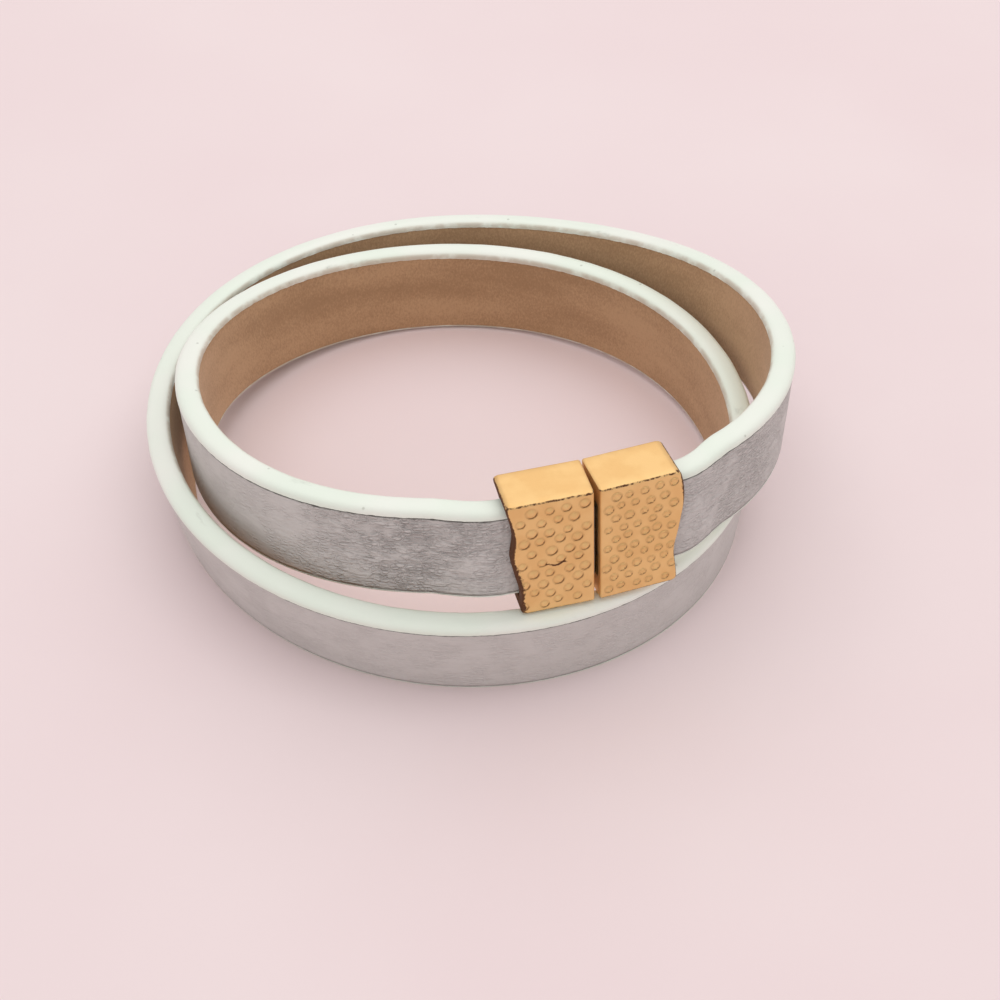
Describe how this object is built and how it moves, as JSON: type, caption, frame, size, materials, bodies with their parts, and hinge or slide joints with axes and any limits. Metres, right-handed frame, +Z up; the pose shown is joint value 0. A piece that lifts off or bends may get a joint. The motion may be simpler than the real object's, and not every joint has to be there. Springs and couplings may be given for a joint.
{
  "type": "double-wrap strap bracelet",
  "caption": "Narrow laminated strap bracelet that goes twice round the wrist, with painted edges and a hammered magnetic clasp whose outer wrap flexes open.",
  "frame": {"origin": "under the middle of the bracelet's outline, on the surface that the strap's lower edge stands on", "axes": "+Z up across the strap's width, -Y towards the clasp's hammered front, which leans a few degrees from it, +X from the left clasp half towards the right one"},
  "size_m": [0.063, 0.0638, 0.0232],
  "materials": {
    "white_leather": "white pebble-grained leather, satin",
    "core_board": "bonded fibre board, raw",
    "tan_lining": "tan microfibre suede",
    "edge_paint": "cream-white edge paint, satin, slightly uneven",
    "rose_gold": "rose-gold plating on a hammered casting, worn at the edges",
    "nickel": "nickel-plated magnet",
    "set_glue": "set clear cement"
  },
  "bodies": {
    "wrap": {"main_leather": "white_leather", "main_core": "core_board", "main_lining": "tan_lining", "main_top_edge_paint": "edge_paint", "main_bottom_edge_paint": "edge_paint", "left_clasp_shell": "rose_gold", "left_magnet": "nickel", "left_strap_glue": "set_glue"},
    "rear_left": {"rear_left_leather": "white_leather", "rear_left_core": "core_board", "rear_left_lining": "tan_lining", "rear_left_top_edge_paint": "edge_paint", "rear_left_bottom_edge_paint": "edge_paint"},
    "rear_right": {"rear_right_leather": "white_leather", "rear_right_core": "core_board", "rear_right_lining": "tan_lining", "rear_right_top_edge_paint": "edge_paint", "rear_right_bottom_edge_paint": "edge_paint"},
    "clasp_side": {"right_leather": "white_leather", "right_core": "core_board", "right_lining": "tan_lining", "right_top_edge_paint": "edge_paint", "right_bottom_edge_paint": "edge_paint", "right_clasp_shell": "rose_gold", "right_magnet": "nickel", "right_strap_glue": "set_glue"}
  },
  "joints": [
    {"name": "outer_wrap_flex", "type": "hinge", "parent": "wrap", "child": "rear_left", "pos_m": [-0.02741, 0.01682, 0.005], "axis": [0, 0, 1], "range_deg": [0, 40], "stiffness_Nm_per_rad": 0.004},
    {"name": "rear_flex", "type": "hinge", "parent": "rear_left", "child": "rear_right", "pos_m": [0.00052, 0.03197, 0.005], "axis": [0, 0, 1], "range_deg": [0, 40], "stiffness_Nm_per_rad": 0.004},
    {"name": "clasp_side_flex", "type": "hinge", "parent": "rear_right", "child": "clasp_side", "pos_m": [0.02639, 0.01592, 0.0085], "axis": [0, 0, 1], "range_deg": [0, 40], "stiffness_Nm_per_rad": 0.004}
  ],
  "couplings": [
    {"joint": "rear_flex", "follows": "outer_wrap_flex", "ratio": 1},
    {"joint": "clasp_side_flex", "follows": "outer_wrap_flex", "ratio": 1}
  ]
}
